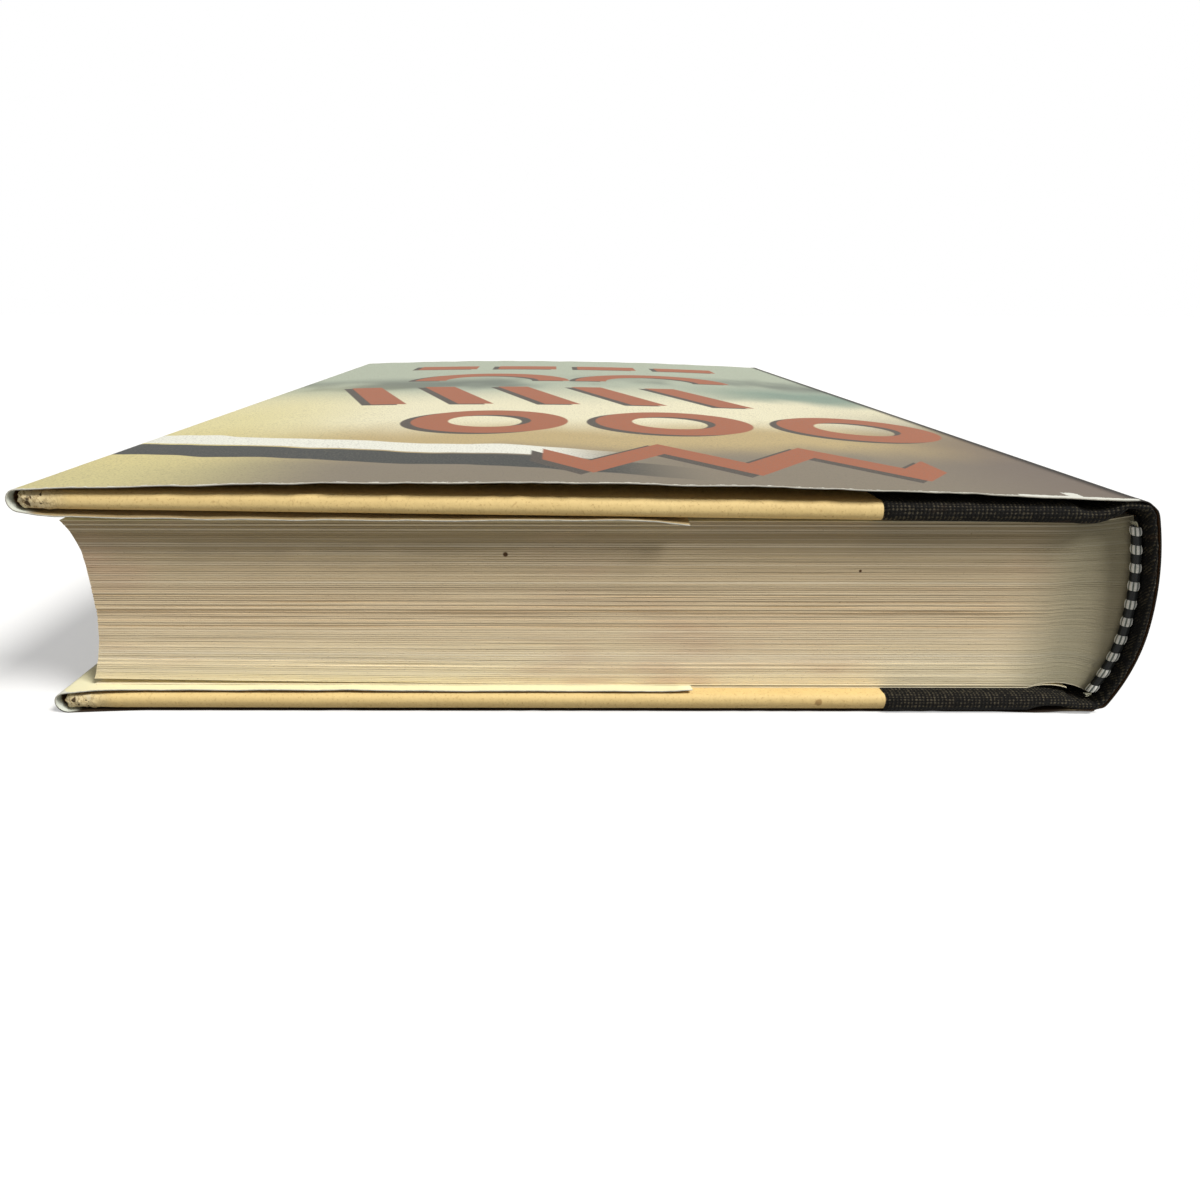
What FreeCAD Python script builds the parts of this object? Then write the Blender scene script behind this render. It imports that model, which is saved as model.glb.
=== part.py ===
# A thick hardback book that lies on its back cover, head end towards -Y, spine towards +X.
# Its case is quarter bound, with a cloth spine and paper sides, round a rounded block of pages,
# and a paper jacket folds round the fore edges of both boards.
# Millimetres. While a piece is drawn, x runs from the fore edge of the boards to the spine and
# z runs up from the table. Saving moves the pieces so that the origin is under the middle.
import FreeCAD, Part
import math
import os

from FreeCAD import Vector

# Pages
LEAF_HEIGHT = 235.0
LEAF_WIDTH = 161.65
BLOCK_THICKNESS = 27.3
FORE_HOLLOW = 2.6
HOLLOW_UNDER_TOP = 1.85
UNDER_TOP = 3.3
HOLLOW_OVER_BOTTOM = 1.4
OVER_BOTTOM = 4.4
SPINE_ROUND = 3.0
CROWN_HEIGHT = 11.2
SHOULDER_RISE = 1.0
SHOULDER_WIDTH = 9.25
BACK_SHOULDER_HUMP = 0.55

# Boards, and how far they stand out past the pages
BOARD_THICKNESS = 2.5
BOARD_EDGE_ROUND = 0.5
HEAD_SQUARE = 3.0
FORE_SQUARE = 3.4

# Sheets that cover and line the boards and the spine
CLOTH = 0.25
SIDE_PAPER = 0.15
ENDPAPER = 0.12
SPINE_CARD = 0.6
MULL = 0.2
SPINE_PAPER = 0.15
TURN_IN = 15.0
PASTEDOWN_MARGIN = 2.5
CLOTH_ON_FRONT = 28.75
CLOTH_ON_BACK = 23.95

# Joints of the case, the grooves between board and spine
HINGE_FROM_TIP = 3.35
SEAM_GAP = 0.15
GROOVE_WIDTH = 6.7
GROOVE_DEPTH = 0.9
GROOVE_BOTTOM = 2.2
FRONT_SHOULDER_PROUD = 0.48
BACK_SHOULDER_SET = 0.5
FRONT_HINGE_ABOVE = 0.15
BACK_HINGE_ABOVE = 0.2
JOINT_ROLL = 1.7
COVER_TILT = 0.7

# Jacket
JACKET = 0.2
JACKET_EASE = 0.05
JACKET_BOW = 1.8
FRONT_FLAP = 98.0
BACK_FLAP = 100.2

# Head and tail bands
BAND_RADIUS = 0.85
BAND_SET_IN = 0.4
BAND_SHORT = 1.2
BAND_TAPE = 10.0
MULL_SHORT = 2.0

# Clearances
LEAF_CLEARANCE = 0.06
COVER_CLEARANCE = 0.08
HOLLOW_BACK = 0.15

# Levels above the table, from the back of the jacket up to the front cover
CLOTH_LEVEL = JACKET
BOARD_LEVEL = CLOTH_LEVEL + CLOTH
BOARD_INSIDE = BOARD_LEVEL + BOARD_THICKNESS
TURN_IN_LEVEL = BOARD_INSIDE + CLOTH
PASTEDOWN_LEVEL = TURN_IN_LEVEL + ENDPAPER
FLAP_LEVEL = PASTEDOWN_LEVEL + JACKET
BLOCK_BOTTOM = FLAP_LEVEL + LEAF_CLEARANCE + ENDPAPER
BLOCK_TOP = BLOCK_BOTTOM + BLOCK_THICKNESS
FRONT_LEVEL = BLOCK_TOP + ENDPAPER + COVER_CLEARANCE + PASTEDOWN_LEVEL

# Places along x
PAGES_FORE = FORE_SQUARE
TIP_X = FORE_SQUARE + LEAF_WIDTH
CROWN_X = TIP_X + SPINE_ROUND
HINGE_X = TIP_X - HINGE_FROM_TIP
BOARD_WIDTH = HINGE_X - GROOVE_WIDTH
COVER_SEAM = HINGE_X - SEAM_GAP
SPINE_SEAM = HINGE_X + SEAM_GAP

# Heights along z of the rounded spine
TIP_TOP = BLOCK_TOP + SHOULDER_RISE
TIP_BOTTOM = BLOCK_BOTTOM - SHOULDER_RISE
CROWN_Z = BLOCK_BOTTOM + CROWN_HEIGHT

# Half heights along y
LEAF_END = LEAF_HEIGHT / 2
COVER_END = LEAF_END + HEAD_SQUARE
BOARD_END = COVER_END - CLOTH

# Spine layers, each at its distance out from the sewn backs of the pages
LINING_OUT = MULL + SPINE_PAPER
TURNED_CLOTH_IN = LINING_OUT + HOLLOW_BACK
CARD_IN = TURNED_CLOTH_IN + CLOTH
CARD_OUT = CARD_IN + SPINE_CARD
SPINE_CLOTH_OUT = CARD_OUT + CLOTH
SPINE_JACKET_IN = SPINE_CLOTH_OUT + JACKET_EASE
SPINE_JACKET_OUT = SPINE_JACKET_IN + JACKET

# Levels of the cloth where it meets the spine shoulders
FRONT_SHOULDER_Z = FRONT_LEVEL - CLOTH_LEVEL + FRONT_SHOULDER_PROUD
BACK_SHOULDER_Z = CLOTH_LEVEL + BACK_SHOULDER_SET

# Hinge lines
FRONT_HINGE_Z = FRONT_SHOULDER_Z + JACKET_EASE + JACKET + FRONT_HINGE_ABOVE
BACK_HINGE_Z = BACK_HINGE_ABOVE

# Fold of the jacket round the fore edge of a board
FOLD_RADIUS = FLAP_LEVEL / 2
FOLD_X = -SIDE_PAPER

# Middle of the book's outline, which is the origin of the saved pieces
MIDDLE_X = (FOLD_X - FOLD_RADIUS + CROWN_X + SPINE_JACKET_OUT) / 2


def at(x, z):
    return Vector(x, 0, z)


def edge_through(points):
    # Two points make a line, three an arc, and more a smooth curve.
    if len(points) == 2:
        return Part.LineSegment(*points).toShape()
    if len(points) == 3:
        return Part.Arc(*points).toShape()
    curve = Part.BSplineCurve()
    curve.interpolate(points)
    return curve.toShape()


def extrude(stretches, start, end):
    # A solid whose section is closed by the stretches, with a straight line where two do not meet.
    edges = []
    for index, points in enumerate(stretches):
        last = stretches[index - 1][-1]
        if last.distanceToPoint(points[0]) > 1e-6:
            edges.append(Part.LineSegment(last, points[0]).toShape())
        edges.append(edge_through(points))
    face = Part.Face(Part.Wire(Part.__sortEdges__(edges)))
    face.translate(Vector(0, start, 0))
    return face.extrude(Vector(0, end - start, 0))


def normals(points):
    # Unit vectors to the left of the way along the stretch, one at each point.
    edge = edge_through(points)
    result = []
    for point in points:
        along = edge.tangentAt(edge.Curve.parameter(point))
        result.append(Vector(-along.z, 0, along.x))
    return result


def shifted(stretches, distance):
    # The same stretches moved to the left by a distance, with mitred corners between them.
    sides = [normals(points) for points in stretches]
    result = []
    for index, points in enumerate(stretches):
        moved = [point + side * distance for point, side in zip(points, sides[index])]
        if index > 0:
            before = sides[index - 1][-1]
            after = sides[index][0]
            moved[0] = points[0] + (before + after) * (distance / (1 + before.dot(after)))
        if index < len(stretches) - 1:
            before = sides[index][-1]
            after = sides[index + 1][0]
            moved[-1] = points[-1] + (before + after) * (distance / (1 + before.dot(after)))
        result.append(moved)
    return result


def backwards(stretches):
    return [list(reversed(points)) for points in reversed(stretches)]


def sheet(stretches, thickness, start, end):
    # A sheet with one face on the stretches and its thickness to their left.
    return extrude(stretches + backwards(shifted(stretches, thickness)), start, end)


def upright_sheet(stretches, height, start, end):
    # A nearly level sheet whose thickness is measured straight up from the stretches.
    raised = [[point + at(0, height) for point in points] for points in stretches]
    return extrude(stretches + backwards(raised), start, end)


def box(x0, x1, y0, y1, z0, z1):
    return Part.makeBox(x1 - x0, y1 - y0, z1 - z0, Vector(x0, y0, z0))


def save(node, shape):
    shape = shape.removeSplitter()
    shape.translate(Vector(-MIDDLE_X, 0, 0))
    shape.exportStep("parts/" + node + ".step")


# The rounded spine is two arcs that meet at its crown, and every layer follows them.
def spine_point(z, out):
    reach = (TIP_TOP if z >= CROWN_Z else TIP_BOTTOM) - CROWN_Z
    radius = (SPINE_ROUND ** 2 + reach ** 2) / (2 * SPINE_ROUND)
    angle = math.asin((z - CROWN_Z) / radius)
    x = CROWN_X - radius + (radius + out) * math.cos(angle)
    return at(x, CROWN_Z + (radius + out) * math.sin(angle))


def spine_arcs(out, low=TIP_BOTTOM, high=TIP_TOP):
    lower = [spine_point(z, out) for z in (low, (low + CROWN_Z) / 2)]
    upper = [spine_point(z, out) for z in ((high + CROWN_Z) / 2, high)]
    crown = at(CROWN_X + out, CROWN_Z)
    return [lower + [crown], [crown] + upper]


def spine_layer(inside, outside, start, end):
    return extrude(spine_arcs(outside) + backwards(spine_arcs(inside)), start, end)


def shoulder(tip, level, out, past):
    # The bend from the spine over one shoulder, then straight to the seam at the hinge. The bend
    # is drawn once, at the outside of the cloth, and other layers lie past it by a distance.
    corner = spine_point(tip, SPINE_CLOTH_OUT)
    centre_of_arc = spine_point(tip, 0)
    facing = (corner - centre_of_arc).normalize()
    up = 1 if level > CROWN_Z else -1
    radius = (level - corner.z) * up / (1 - facing.z * up)
    centre = corner - facing * radius
    half = math.atan2(facing.z, facing.x) / 2 + up * math.pi / 4
    middle = centre + at(math.cos(half), math.sin(half)) * (radius + past)
    over = at(centre.x, level + up * past)
    return [spine_point(tip, out), middle, over], [over, at(SPINE_SEAM, level + up * past)]


def wrapped_spine(out):
    # The whole way of a layer that goes from one hinge seam over the spine to the other.
    past = out - SPINE_CLOTH_OUT
    low_bend, low_flat = shoulder(TIP_BOTTOM, BACK_SHOULDER_Z, out, past)
    high_bend, high_flat = shoulder(TIP_TOP, FRONT_SHOULDER_Z, out, past)
    return backwards([low_bend, low_flat]) + spine_arcs(out) + [high_bend, high_flat]


def wrapped_layer(inside, outside, start, end):
    return extrude(wrapped_spine(outside) + backwards(wrapped_spine(inside)), start, end)


# Outlines of the first and last leaf, from the fore edge to the shoulder tips
def top_of_pages():
    start = at(TIP_X - SHOULDER_WIDTH, BLOCK_TOP)
    bend = at(TIP_X - SHOULDER_WIDTH / 2, BLOCK_TOP + SHOULDER_RISE / 4)
    return [[at(PAGES_FORE, BLOCK_TOP), start], [start, bend, spine_point(TIP_TOP, 0)]]


def bottom_of_pages():
    start = at(TIP_X - SHOULDER_WIDTH, BLOCK_BOTTOM)
    hump = at(TIP_X - SHOULDER_WIDTH / 2, BLOCK_BOTTOM + BACK_SHOULDER_HUMP)
    return [[at(PAGES_FORE, BLOCK_BOTTOM), start], [start, hump, spine_point(TIP_BOTTOM, 0)]]


def text_block():
    # The fore edge is hollow, and turns in more sharply under the top than over the bottom.
    fore_edge = [at(PAGES_FORE, BLOCK_TOP),
                 at(PAGES_FORE + HOLLOW_UNDER_TOP, BLOCK_TOP - UNDER_TOP),
                 at(PAGES_FORE + FORE_HOLLOW, (BLOCK_BOTTOM + BLOCK_TOP) / 2),
                 at(PAGES_FORE + HOLLOW_OVER_BOTTOM, BLOCK_BOTTOM + OVER_BOTTOM),
                 at(PAGES_FORE, BLOCK_BOTTOM)]
    outline = bottom_of_pages() + spine_arcs(0) + backwards(top_of_pages()) + [fore_edge]
    return extrude(outline, -LEAF_END, LEAF_END)


def front_flyleaf():
    return sheet(top_of_pages(), ENDPAPER, -LEAF_END, LEAF_END)


def back_flyleaf():
    return sheet(bottom_of_pages(), -ENDPAPER, -LEAF_END, LEAF_END)


def band(end):
    # A bead of thread over the page ends, on a tape glued to the backs of the pages.
    bead_y = end * (LEAF_END + BAND_RADIUS)
    arcs = spine_arcs(-BAND_SET_IN, TIP_BOTTOM + BAND_SHORT, TIP_TOP - BAND_SHORT)
    path = Part.Wire([edge_through(points) for points in arcs])
    path.translate(Vector(0, bead_y, 0))
    start = path.Edges[0]
    ring = Part.makeCircle(BAND_RADIUS, start.valueAt(start.FirstParameter),
                           start.tangentAt(start.FirstParameter))
    bead = path.makePipeShell([Part.Wire([ring])], True, True)
    near, far = sorted([bead_y, end * (LEAF_END - BAND_TAPE)])
    return bead.fuse(spine_layer(0, MULL, near, far))


def spine_mull():
    end = LEAF_END - BAND_TAPE - MULL_SHORT
    return spine_layer(0, MULL, -end, end)


def spine_lining():
    return spine_layer(MULL, LINING_OUT, -LEAF_END, LEAF_END)


def spine_inlay():
    return spine_layer(CARD_IN, CARD_OUT, -BOARD_END, BOARD_END)


def spine_cloth():
    # The cloth lies over the card, turns round its head and tail and runs back inside.
    cloth = wrapped_layer(CARD_OUT, SPINE_CLOTH_OUT, -COVER_END, COVER_END)
    for side in (-1, 1):
        near, far = sorted([side * BOARD_END, side * COVER_END])
        cap = wrapped_layer(TURNED_CLOTH_IN, SPINE_CLOTH_OUT, near, far)
        near, far = sorted([side * (COVER_END - TURN_IN), side * COVER_END])
        turned = spine_layer(TURNED_CLOTH_IN, CARD_IN, near, far)
        cloth = cloth.fuse([cap, turned])
    return cloth


def jacket_spine():
    return wrapped_layer(SPINE_JACKET_IN, SPINE_JACKET_OUT, -COVER_END, COVER_END)


# Pieces of a cover are drawn as the back cover lies, with their outside down. The front cover
# has the same pieces turned over, so shoulder_set is how far its shoulder lies in from the cloth.
def board_edge(out):
    # A quarter round about the board's spine edge, on its outside, at a distance out from it.
    radius = BOARD_EDGE_ROUND + out
    centre = at(BOARD_WIDTH - BOARD_EDGE_ROUND, BOARD_LEVEL + BOARD_EDGE_ROUND)
    middle = centre + at(radius, -radius) * math.sqrt(0.5)
    return [centre - at(0, radius), middle, centre + at(radius, 0)]


def board():
    edge = board_edge(0)
    inner_corner = at(BOARD_WIDTH, BOARD_INSIDE)
    outline = [[at(0, BOARD_INSIDE), at(0, BOARD_LEVEL)], edge, [edge[-1], inner_corner]]
    return extrude(outline, -BOARD_END, BOARD_END)


def side_paper(cloth_width):
    # Paper over the outside of the board, turned in round three of its edges.
    edge = BOARD_WIDTH - cloth_width
    end = BOARD_END + SIDE_PAPER
    whole = box(-SIDE_PAPER, edge, -end, end, BOARD_LEVEL - SIDE_PAPER, BOARD_INSIDE + SIDE_PAPER)
    window_end = BOARD_END - TURN_IN
    window = box(TURN_IN, BOARD_WIDTH, -window_end, window_end, BOARD_INSIDE, TURN_IN_LEVEL)
    return whole.cut(board()).cut(window)


def cloth_outside(edge, shoulder_set):
    # Cloth over the board and round its edge, then through the groove up to the hinge seam.
    bend = board_edge(CLOTH)
    bottom = at(BOARD_WIDTH + GROOVE_BOTTOM, CLOTH_LEVEL + GROOVE_DEPTH)
    seam = at(COVER_SEAM, CLOTH_LEVEL + shoulder_set)
    return [[at(edge, CLOTH_LEVEL), bend[0]], bend, [bend[-1], bottom, seam]]


def cloth_inside(edge, shoulder_set):
    # The turned-in cloth under the board, which rises to meet the outside at the seam.
    middle = at((BOARD_WIDTH + COVER_SEAM) / 2, TURN_IN_LEVEL - CLOTH / 2)
    seam = at(COVER_SEAM, CLOTH_LEVEL + shoulder_set + JOINT_ROLL)
    return [[at(edge, TURN_IN_LEVEL), at(BOARD_WIDTH, TURN_IN_LEVEL)],
            [at(BOARD_WIDTH, TURN_IN_LEVEL), middle, seam]]


def cover_cloth(cloth_width, shoulder_set):
    edge = BOARD_WIDTH - cloth_width
    outside = cloth_outside(edge, shoulder_set)
    inside = cloth_inside(edge, shoulder_set)
    cloth = sheet(outside, CLOTH, -COVER_END, COVER_END)
    for side in (-1, 1):
        near, far = sorted([side * BOARD_END, side * COVER_END])
        cap = extrude(outside + backwards(inside), near, far)
        near, far = sorted([side * (COVER_END - TURN_IN), side * COVER_END])
        turned = upright_sheet(inside, -CLOTH, near, far)
        cloth = cloth.fuse([cap, turned])
    return cloth.cut(board())


def pastedown(paper, cloth, joint_way):
    # The endpaper glued to the board fills the space between the turned-in edges, then runs on
    # across the groove to the hinge seam.
    glued = box(PASTEDOWN_MARGIN, BOARD_WIDTH, -LEAF_END, LEAF_END, BOARD_INSIDE, PASTEDOWN_LEVEL)
    joint = upright_sheet([joint_way], ENDPAPER, -LEAF_END, LEAF_END)
    return glued.cut(paper).cut(cloth).fuse(joint)


def jacket_half(flap, panel):
    # Flap inside the cover, fold round the fore edge, and the panel over the outside.
    top = at(FOLD_X, FLAP_LEVEL)
    far = at(FOLD_X - FOLD_RADIUS, FOLD_RADIUS)
    bottom = at(FOLD_X, 0)
    way = [[at(flap, FLAP_LEVEL), top], [top, far, bottom]] + panel
    return sheet(way, JACKET, -COVER_END, COVER_END)


def back_cover():
    paper = side_paper(CLOTH_ON_BACK)
    cloth = cover_cloth(CLOTH_ON_BACK, BACK_SHOULDER_SET)
    joint_way = [at(BOARD_WIDTH, TURN_IN_LEVEL),
                 at((BOARD_WIDTH + COVER_SEAM) / 2, TURN_IN_LEVEL + BACK_SHOULDER_HUMP),
                 at(COVER_SEAM, TURN_IN_LEVEL)]
    groove = at(BOARD_WIDTH, 0)
    jacket_seam = at(COVER_SEAM, BACK_SHOULDER_Z - JACKET_EASE - JACKET)
    panel = [[at(FOLD_X, 0), groove], [groove, jacket_seam]]
    return {"back_board": board(),
            "back_side_paper": paper,
            "back_cloth": cloth,
            "back_pastedown": pastedown(paper, cloth, joint_way),
            "jacket_back": jacket_half(BACK_FLAP, panel)}


def front_cover():
    edge = BOARD_WIDTH - CLOTH_ON_FRONT
    paper = side_paper(CLOTH_ON_FRONT)
    cloth = cover_cloth(CLOTH_ON_FRONT, -FRONT_SHOULDER_PROUD)
    joint_way = cloth_inside(edge, -FRONT_SHOULDER_PROUD)[-1]
    start = at(FOLD_X, 0)
    seam = at(COVER_SEAM, CLOTH_LEVEL - FRONT_SHOULDER_PROUD - JACKET_EASE - JACKET)
    bow = (start + seam) * 0.5 - at(0, JACKET_BOW)
    pieces = {"front_board": board(),
              "front_side_paper": paper,
              "front_cloth": cloth,
              "front_pastedown": pastedown(paper, cloth, joint_way),
              "jacket_front": jacket_half(FRONT_FLAP, [[start, bow, seam]])}
    for node, shape in pieces.items():
        turned = shape.mirror(at(0, FRONT_LEVEL / 2), Vector(0, 0, 1))
        turned.rotate(at(HINGE_X, FRONT_HINGE_Z), Vector(0, 1, 0), COVER_TILT)
        pieces[node] = turned
    return pieces


os.makedirs("parts", exist_ok=True)

save("text_block", text_block())
save("front_flyleaf", front_flyleaf())
save("back_flyleaf", back_flyleaf())
save("head_band", band(-1))
save("tail_band", band(1))
save("spine_mull", spine_mull())
save("spine_lining", spine_lining())
save("spine_inlay", spine_inlay())
save("spine_cloth", spine_cloth())
save("jacket_spine", jacket_spine())
for name, piece in {**back_cover(), **front_cover()}.items():
    save(name, piece)

print("hinge x from the middle:", round(HINGE_X - MIDDLE_X, 3))
print("hinge heights, front and back:", round(FRONT_HINGE_Z, 3), round(BACK_HINGE_Z, 3))
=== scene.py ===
import math
import random

import bpy
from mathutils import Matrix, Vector, noise


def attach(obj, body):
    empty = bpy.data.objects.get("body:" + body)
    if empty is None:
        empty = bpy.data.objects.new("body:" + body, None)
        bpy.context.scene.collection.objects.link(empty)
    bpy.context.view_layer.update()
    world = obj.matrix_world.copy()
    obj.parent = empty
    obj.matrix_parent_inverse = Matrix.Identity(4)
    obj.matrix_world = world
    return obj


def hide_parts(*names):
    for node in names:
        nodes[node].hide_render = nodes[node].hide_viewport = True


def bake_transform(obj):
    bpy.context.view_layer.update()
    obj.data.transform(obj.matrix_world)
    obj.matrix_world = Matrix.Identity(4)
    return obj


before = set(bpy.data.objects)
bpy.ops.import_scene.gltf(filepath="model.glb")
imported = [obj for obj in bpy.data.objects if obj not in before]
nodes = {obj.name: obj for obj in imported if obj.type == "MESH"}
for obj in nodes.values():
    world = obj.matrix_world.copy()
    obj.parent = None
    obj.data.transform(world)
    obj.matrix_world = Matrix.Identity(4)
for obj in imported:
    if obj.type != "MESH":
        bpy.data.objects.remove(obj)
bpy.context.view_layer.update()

# The camera stands close to the head end at a height of 62 mm and looks down along the book,
# turned a little to one side in the hand.
MM = 0.001
EYE = (-6.25, -234.5, 62.4)
LOOK_DOWN = 20.62
ROLL = -0.1
lens = bpy.data.cameras.new("camera")
lens.lens = 24
lens.sensor_width = 36
lens.shift_x = 0.039
lens.clip_start = 0.01
camera = bpy.data.objects.new("camera", lens)
camera.location = [axis * MM for axis in EYE]
camera.rotation_euler = (math.radians(90 - LOOK_DOWN), math.radians(ROLL), 0)
bpy.context.scene.collection.objects.link(camera)
bpy.context.scene.camera = camera
bpy.context.scene.view_settings.view_transform = "Standard"


# The pages are one block of some hundreds of soft, slightly toned leaves, cut at the head, tail
# and fore edge and rounded at the sewn back. The leaves are cut a little unevenly, so each row
# of them in the block stands out or back by its own small step.
LEAF_END = 117.5
LOW_LEAF, TOP_LEAF = 3.7, 31.0
PAGES_FORE = -80.6
FORE_HOLLOW = 2.6
UPPER_HOLLOW, LOWER_HOLLOW = 4.5, 2.0
SHOULDER_X, TIP_X = 71.81, 81.06
TIP_LOW, TIP_TOP = 2.7, 32.0
CROWN_X, CROWN_Z = 84.06, 14.9
SPINE_ROUND = 3.0
SHOULDER_RISE = 1.0
LOW_HUMP = 3.2
FORE_LIFT = 0.9
SEWN_X, SEWN_REACH = 60, 12
LENGTH_STEPS, FORE_STEPS = 44, 12
BUNDLES = 74
DARK_SHARE = 0.32
ROUGH_ROWS = (13.5, 20.8)
PALE_ROWS = (6.6, 9.0)
PALE_ABOVE = 25
CUT_STEP = 0.09
ROUGH_STEP = 0.17
DRIFT, DRIFT_LENGTH = 0.8, 22


def colour(red, green, blue):
    # From the usual screen values, 0 to 255, to the renderer's linear ones.
    shares = [value / 255 for value in (red, green, blue)]
    return [((share + 0.055) / 1.055) ** 2.4 for share in shares] + [1]


def fill(finish, socket, value):
    if isinstance(value, bpy.types.NodeSocket):
        finish.node_tree.links.new(value, socket)
    else:
        socket.default_value = value


def reckon(finish, way, first, second=0.0, third=0.0):
    maths = finish.node_tree.nodes.new("ShaderNodeMath")
    maths.operation = way
    for socket, value in zip(maths.inputs, (first, second, third)):
        fill(finish, socket, value)
    return maths.outputs[0]


def times(finish, first, second):
    return reckon(finish, "MULTIPLY", first, second)


def between(finish, value, low, high):
    # 0 at the low value, 1 at the high one and a smooth change between them.
    spread = finish.node_tree.nodes.new("ShaderNodeMapRange")
    spread.interpolation_type = "SMOOTHSTEP"
    fill(finish, spread.inputs["Value"], value)
    spread.inputs["From Min"].default_value = low
    spread.inputs["From Max"].default_value = high
    return spread.outputs[0]


def mixed(finish, share, first, second):
    mix = finish.node_tree.nodes.new("ShaderNodeMix")
    mix.data_type = "RGBA"
    fill(finish, mix.inputs[0], share)
    fill(finish, mix.inputs[6], first)
    fill(finish, mix.inputs[7], second)
    return mix.outputs[2]


def named(finish, name, output):
    # A value that the mesh carries on its points.
    carried = finish.node_tree.nodes.new("ShaderNodeAttribute")
    carried.attribute_name = name
    return carried.outputs[output]


def where_on_node(finish):
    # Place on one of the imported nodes, in metres.
    return finish.node_tree.nodes.new("ShaderNodeTexCoord").outputs["Object"]


def axes(finish, place):
    apart = finish.node_tree.nodes.new("ShaderNodeSeparateXYZ")
    fill(finish, apart.inputs[0], place)
    return apart.outputs


def stretched(finish, place, per_x, per_y, per_z):
    scaled = finish.node_tree.nodes.new("ShaderNodeMapping")
    fill(finish, scaled.inputs["Vector"], place)
    scaled.inputs["Scale"].default_value = (per_x, per_y, per_z)
    return scaled.outputs[0]


def away(finish, first, second, centre):
    # Distance from a centre in the plane of two axes.
    across = reckon(finish, "SUBTRACT", first, centre[0])
    up = reckon(finish, "SUBTRACT", second, centre[1])
    squares = reckon(finish, "MULTIPLY_ADD", across, across, times(finish, up, up))
    return reckon(finish, "SQRT", squares)


def mottle(finish, place, detail=3.0, rough=0.55):
    cloud = finish.node_tree.nodes.new("ShaderNodeTexNoise")
    fill(finish, cloud.inputs["Vector"], place)
    cloud.inputs["Scale"].default_value = 1
    cloud.inputs["Detail"].default_value = detail
    cloud.inputs["Roughness"].default_value = rough
    return cloud.outputs["Fac"]


def new_finish(name, roughness, gloss=0.3):
    finish = bpy.data.materials.new(name)
    finish.use_nodes = True
    surface = finish.node_tree.nodes["Principled BSDF"]
    surface.inputs["Roughness"].default_value = roughness
    surface.inputs["Specular IOR Level"].default_value = gloss
    return finish


def coat(finish, shade):
    surface = finish.node_tree.nodes["Principled BSDF"]
    fill(finish, surface.inputs["Base Color"], shade)


def relief(finish, height, depth, strength=1.0):
    # Small height differences, given in millimetres from lowest to highest.
    bump = finish.node_tree.nodes.new("ShaderNodeBump")
    bump.inputs["Strength"].default_value = strength
    bump.inputs["Distance"].default_value = depth * MM
    fill(finish, bump.inputs["Height"], height)
    surface = finish.node_tree.nodes["Principled BSDF"]
    finish.node_tree.links.new(bump.outputs[0], surface.inputs["Normal"])


def piece(name, points, faces, finish, soft=True):
    # A mesh from points in millimetres, which it also carries as "place" for its finish.
    mesh = bpy.data.meshes.new(name)
    mesh.from_pydata([[axis * MM for axis in point] for point in points], [], faces)
    mesh.materials.append(finish)
    carry(mesh, "place", "FLOAT_VECTOR", [axis for point in points for axis in point])
    if soft:
        mesh.shade_smooth()
    obj = bpy.data.objects.new(name, mesh)
    bpy.context.scene.collection.objects.link(obj)
    return obj


def carry(mesh, name, kind, values):
    carried = mesh.attributes.new(name, kind, "POINT")
    carried.data.foreach_set("vector" if kind == "FLOAT_VECTOR" else "value", values)


def loft(rows, closed=False):
    # All points of the rows, and the faces between each row and the next.
    width = len(rows[0])
    faces = []
    for row in range(len(rows) - 1):
        start, after = row * width, (row + 1) * width
        for column in range(width if closed else width - 1):
            beside = (column + 1) % width
            faces.append((start + column, start + beside, after + beside, after + column))
    return [point for row in rows for point in row], faces


def spine_at(z, out=0.0):
    # Two arcs that meet at the crown. Every layer of the spine follows them at its distance out.
    reach = (TIP_TOP if z >= CROWN_Z else TIP_LOW) - CROWN_Z
    radius = (SPINE_ROUND ** 2 + reach ** 2) / (2 * SPINE_ROUND)
    angle = math.asin((z - CROWN_Z) / radius)
    x = CROWN_X - radius + (radius + out) * math.cos(angle)
    return x, CROWN_Z + (radius + out) * math.sin(angle)


def leaf_height(x, share):
    # Height of the leaf at this share of the block, which swells over the back's two shoulders.
    # The lowest leaves rise a little towards the fore edge.
    along = min(max((x - SHOULDER_X) / (TIP_X - SHOULDER_X), 0), 1)
    top = TOP_LEAF + SHOULDER_RISE * along ** 2
    lift = FORE_LIFT * min(max(x / PAGES_FORE, 0), 1) ** 1.3 * max(1 - share / 0.4, 0)
    low = LOW_LEAF + LOW_HUMP * along - (LOW_HUMP + SHOULDER_RISE) * along ** 2
    return low + (top - low) * share + lift


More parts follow.
